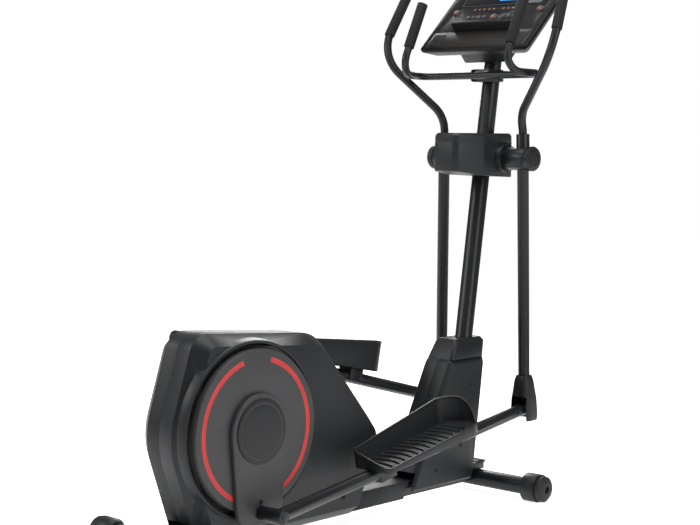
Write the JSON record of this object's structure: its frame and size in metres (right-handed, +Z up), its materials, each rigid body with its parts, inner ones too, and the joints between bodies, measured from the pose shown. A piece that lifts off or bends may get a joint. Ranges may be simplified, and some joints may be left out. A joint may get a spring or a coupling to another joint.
{
  "type": "elliptical trainer",
  "caption": "Rear-drive elliptical trainer with a covered crank and disc, long pedal arms, swinging hand levers, a fixed pulse bar and a tilted console on a leaning mast.",
  "frame": {"origin": "middle of the bounding box in X and Y, at floor level", "axes": "+X is the user's right, +Y the way the user faces, +Z up"},
  "size_m": [0.7386, 1.5984, 1.7296],
  "materials": {
    "frame_paint": "fine satin powder coat",
    "moulded_black": "fine spark-eroded grain",
    "disc_grey": "satin, red ring printed on the disc",
    "foam": "closed-cell foam skin",
    "steel": "zinc plated",
    "cast_iron": "turned",
    "belt_rubber": "ribbed",
    "wheel_rubber": "moulded",
    "dark_glass": "gloss",
    "key_plastic": "satin"
  },
  "bodies": {
    "frame": {"main_rail": "frame_paint", "drive_frame": "frame_paint", "mast": "frame_paint", "front_stabilizer": "frame_paint", "rear_stabilizer": "frame_paint", "front_end_cap_right": "moulded_black", "front_end_cap_left": "moulded_black", "rear_end_cap_right": "moulded_black", "rear_end_cap_left": "moulded_black", "shroud_right": "moulded_black", "shroud_left": "moulded_black", "rail_cover": "moulded_black", "mast_cover_right": "moulded_black", "mast_cover_left": "moulded_black", "mast_cover_cap": "moulded_black", "pivot_housing": "moulded_black", "accessory_tray": "moulded_black", "pivot_axle": "steel", "pulse_handlebar": "frame_paint", "pulse_grip_right": "foam", "pulse_grip_left": "foam", "console_housing": "moulded_black", "console_face": "moulded_black", "display_lens": "dark_glass", "crank_bearing": "steel", "drive_belt": "belt_rubber", "resistance_motor": "moulded_black"},
    "crank": {"crank_axle": "steel", "drive_pulley": "moulded_black", "crank_arm_right": "steel", "crank_arm_left": "steel", "crank_disc_right": "disc_grey", "crank_disc_left": "disc_grey", "crank_cover_right": "disc_grey", "crank_cover_left": "disc_grey"},
    "flywheel": {"flywheel": "cast_iron"},
    "idler_arm": {"idler_arm": "steel"},
    "idler_wheel": {"idler_wheel": "moulded_black"},
    "magnet_bracket": {"magnet_bracket": "steel"},
    "transport_wheel_right": {"transport_wheel_right": "wheel_rubber"},
    "transport_wheel_left": {"transport_wheel_left": "wheel_rubber"},
    "levelling_cap_right": {"levelling_cap_right": "wheel_rubber"},
    "levelling_cap_left": {"levelling_cap_left": "wheel_rubber"},
    "resistance_down_key": {"resistance_down_key": "key_plastic"},
    "resistance_up_key": {"resistance_up_key": "key_plastic"},
    "start_key": {"start_key": "key_plastic"},
    "swing_right": {"swing_arm_right": "frame_paint", "handle_right": "frame_paint", "grip_right": "foam", "pivot_cap_right": "moulded_black", "clevis_cover_right": "moulded_black"},
    "foot_right": {"pedal_arm_right": "frame_paint", "pedal_right": "moulded_black"},
    "swing_left": {"swing_arm_left": "frame_paint", "handle_left": "frame_paint", "grip_left": "foam", "pivot_cap_left": "moulded_black", "clevis_cover_left": "moulded_black"},
    "foot_left": {"pedal_arm_left": "frame_paint", "pedal_left": "moulded_black"}
  },
  "joints": [
    {"name": "crank_turn", "type": "hinge", "parent": "frame", "child": "crank", "pos_m": [0, -0.53737, 0.3558], "axis": [1, 0, 0], "range_deg": [0, 90]},
    {"name": "swing_turn_right", "type": "hinge", "parent": "frame", "child": "swing_right", "pos_m": [0, 0.61763, 1.105], "axis": [1, 0, 0], "range_deg": [-15.43, 16.9]},
    {"name": "foot_turn_right", "type": "hinge", "parent": "swing_right", "child": "foot_right", "pos_m": [0, 0.64775, 0.28055], "axis": [1, 0, 0], "range_deg": [-28.94, 8.48]},
    {"name": "swing_turn_left", "type": "hinge", "parent": "frame", "child": "swing_left", "pos_m": [0, 0.61763, 1.105], "axis": [1, 0, 0], "range_deg": [-13.38, 18.95]},
    {"name": "foot_turn_left", "type": "hinge", "parent": "swing_left", "child": "foot_left", "pos_m": [0, 0.61821, 0.28], "axis": [1, 0, 0], "range_deg": [-8.86, 28.56]},
    {"name": "flywheel_turn", "type": "hinge", "parent": "frame", "child": "flywheel", "pos_m": [0, -0.20737, 0.3], "axis": [1, 0, 0], "continuous": true},
    {"name": "idler_arm_turn", "type": "hinge", "parent": "frame", "child": "idler_arm", "pos_m": [0, -0.33737, 0.145], "axis": [1, 0, 0], "range_deg": [-10, 0], "stiffness_Nm_per_rad": 4, "springref_deg": 5.73},
    {"name": "idler_wheel_turn", "type": "hinge", "parent": "idler_arm", "child": "idler_wheel", "pos_m": [0, -0.32157, 0.22378], "axis": [1, 0, 0], "continuous": true},
    {"name": "magnet_turn", "type": "hinge", "parent": "frame", "child": "magnet_bracket", "pos_m": [0, -0.33737, 0.19], "axis": [1, 0, 0], "range_deg": [0, 8]},
    {"name": "wheel_turn_right", "type": "hinge", "parent": "frame", "child": "transport_wheel_right", "pos_m": [0.306, 0.57063, 0.043], "axis": [1, 0, 0], "continuous": true},
    {"name": "leveller_turn_right", "type": "hinge", "parent": "frame", "child": "levelling_cap_right", "pos_m": [0.306, -0.74937, 0.043], "axis": [1, 0, 0], "continuous": true},
    {"name": "wheel_turn_left", "type": "hinge", "parent": "frame", "child": "transport_wheel_left", "pos_m": [-0.306, 0.57063, 0.043], "axis": [1, 0, 0], "continuous": true},
    {"name": "leveller_turn_left", "type": "hinge", "parent": "frame", "child": "levelling_cap_left", "pos_m": [-0.306, -0.74937, 0.043], "axis": [1, 0, 0], "continuous": true},
    {"name": "resistance_down_key_press", "type": "slide", "parent": "frame", "child": "resistance_down_key", "axis": [0, 0.6909, -0.723], "range_m": [0, 0.0012], "stiffness_N_per_m": 400, "springref_m": -0.0008},
    {"name": "resistance_up_key_press", "type": "slide", "parent": "frame", "child": "resistance_up_key", "axis": [0, 0.6909, -0.723], "range_m": [0, 0.0012], "stiffness_N_per_m": 400, "springref_m": -0.0008},
    {"name": "start_key_press", "type": "slide", "parent": "frame", "child": "start_key", "axis": [0, 0.6909, -0.723], "range_m": [0, 0.0012], "stiffness_N_per_m": 400, "springref_m": -0.0008}
  ],
  "couplings": [
    {"joint": "swing_turn_right", "follows": "crank_turn", "ratio": 0.18754},
    {"joint": "foot_turn_right", "follows": "crank_turn", "ratio": -0.28597},
    {"joint": "swing_turn_left", "follows": "crank_turn", "ratio": -0.14824},
    {"joint": "foot_turn_left", "follows": "crank_turn", "ratio": 0.28361},
    {"joint": "flywheel_turn", "follows": "crank_turn", "ratio": 7.5},
    {"joint": "idler_wheel_turn", "follows": "crank_turn", "ratio": -6.108}
  ]
}
